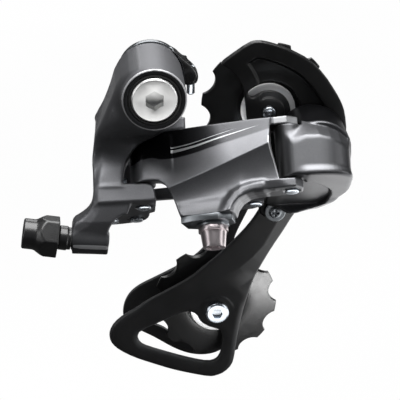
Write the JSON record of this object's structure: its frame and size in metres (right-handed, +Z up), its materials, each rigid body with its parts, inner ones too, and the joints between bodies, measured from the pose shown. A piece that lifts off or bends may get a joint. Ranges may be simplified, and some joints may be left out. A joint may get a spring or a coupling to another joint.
{
  "type": "rear bicycle derailleur",
  "caption": "Slant-parallelogram rear derailleur with sprung knuckles, cable clamp, barrel adjuster and a chain cage with toothed jockey wheels.",
  "frame": {"origin": "mounting bolt axis at the face that bears on the frame hanger", "axes": "+X towards the front of the cycle, +Y inboard towards the wheel along the mounting bolt, +Z up"},
  "size_m": [0.12, 0.058, 0.1398],
  "materials": {
    "cast_paint": "satin grey metallic paint on cast aluminium",
    "plate_black": "satin black coat",
    "wheel_plastic": "moulded black plastic",
    "zinc_steel": "bright zinc plate",
    "bolt_steel": "turned and brushed steel",
    "clamp_steel": "warm plated steel",
    "spring_steel": "oiled spring steel",
    "knob_black": "satin black",
    "seal_rubber": "matt",
    "bush_brass": "sintered bronze"
  },
  "bodies": {
    "mount": {"mounting_bolt": "bolt_steel", "retaining_ring": "spring_steel", "b_stop_plate": "plate_black"},
    "angle_screw": {"b_angle_screw": "zinc_steel"},
    "bracket": {"b_knuckle": "cast_paint", "b_bushing": "bush_brass", "bolt_seal_ring": "seal_rubber", "b_spring": "spring_steel", "return_spring": "spring_steel", "spring_anchor_pin": "zinc_steel", "outer_link_b_pin": "zinc_steel", "inner_link_b_pin": "zinc_steel", "adjuster_collar": "knob_black"},
    "limit_high": {"limit_screw_high": "zinc_steel"},
    "limit_low": {"limit_screw_low": "zinc_steel"},
    "adjuster": {"adjuster_knob": "knob_black"},
    "outer_arm": {"outer_link": "cast_paint", "cable_clamp_plate": "zinc_steel", "cable_clamp_washer": "zinc_steel", "cable_fixing_bolt": "clamp_steel"},
    "inner_arm": {"inner_link": "cast_paint"},
    "lower_knuckle": {"p_knuckle": "cast_paint", "outer_link_p_pin": "zinc_steel", "inner_link_p_pin": "zinc_steel", "p_spring": "spring_steel", "p_bushing": "bush_brass", "p_seal_ring": "wheel_plastic"},
    "cage": {"outer_cage_plate": "plate_black", "inner_cage_plate": "plate_black", "cage_axle": "zinc_steel", "cage_stop_pin": "zinc_steel", "guide_pulley_bushing": "bush_brass", "guide_pulley_dust_caps": "zinc_steel", "guide_pulley_bolt": "zinc_steel", "tension_pulley_bushing": "bush_brass", "tension_pulley_dust_caps": "zinc_steel", "tension_pulley_bolt": "zinc_steel"},
    "guide_wheel": {"guide_pulley": "wheel_plastic"},
    "tension_wheel": {"tension_pulley": "wheel_plastic"}
  },
  "joints": [
    {"name": "body_pivot", "type": "hinge", "parent": "mount", "child": "bracket", "pos_m": [0, -0.015, 0], "axis": [0, 1, 0], "range_deg": [-12, 35]},
    {"name": "angle_screw_turn", "type": "hinge", "parent": "mount", "child": "angle_screw", "pos_m": [0.0141, -0.0029, 0], "axis": [0, 0, 1], "range_deg": [-720, 720]},
    {"name": "limit_high_turn", "type": "hinge", "parent": "bracket", "child": "limit_high", "pos_m": [-0.015, -0.01502, -0.0364], "axis": [1, 0, 0], "range_deg": [-720, 720]},
    {"name": "limit_low_turn", "type": "hinge", "parent": "bracket", "child": "limit_low", "pos_m": [-0.015, -0.00848, -0.04229], "axis": [1, 0, 0], "range_deg": [-720, 720]},
    {"name": "adjuster_turn", "type": "hinge", "parent": "bracket", "child": "adjuster", "pos_m": [-0.04059, -0.025, -0.05093], "axis": [-0.9852, 0, 0.1715], "range_deg": [0, 1800]},
    {"name": "link_swing", "type": "hinge", "parent": "bracket", "child": "outer_arm", "pos_m": [-0.0037, -0.00893, -0.03233], "axis": [0, 0.6691, 0.7431], "range_deg": [0, 50]},
    {"name": "inner_link_swing", "type": "hinge", "parent": "bracket", "child": "inner_arm", "pos_m": [-0.0149, 0.00296, -0.04304], "axis": [0, 0.6691, 0.7431], "range_deg": [0, 50]},
    {"name": "lower_knuckle_swing", "type": "hinge", "parent": "outer_arm", "child": "lower_knuckle", "pos_m": [0.0468, -0.02282, -0.02386], "axis": [0, 0.6691, 0.7431], "range_deg": [-50, 0]},
    {"name": "cage_pivot", "type": "hinge", "parent": "lower_knuckle", "child": "cage", "pos_m": [0.0585, -0.007, -0.0305], "axis": [0, -1, 0], "range_deg": [0, 70]},
    {"name": "guide_spin", "type": "hinge", "parent": "cage", "child": "guide_wheel", "pos_m": [0.0426, 0.0085, -0.0179], "axis": [0, 1, 0], "continuous": true},
    {"name": "tension_spin", "type": "hinge", "parent": "cage", "child": "tension_wheel", "pos_m": [0.0242, 0.0085, -0.0992], "axis": [0, 1, 0], "continuous": true}
  ],
  "couplings": [
    {"joint": "inner_link_swing", "follows": "link_swing", "ratio": 1},
    {"joint": "lower_knuckle_swing", "follows": "link_swing", "ratio": -1}
  ]
}
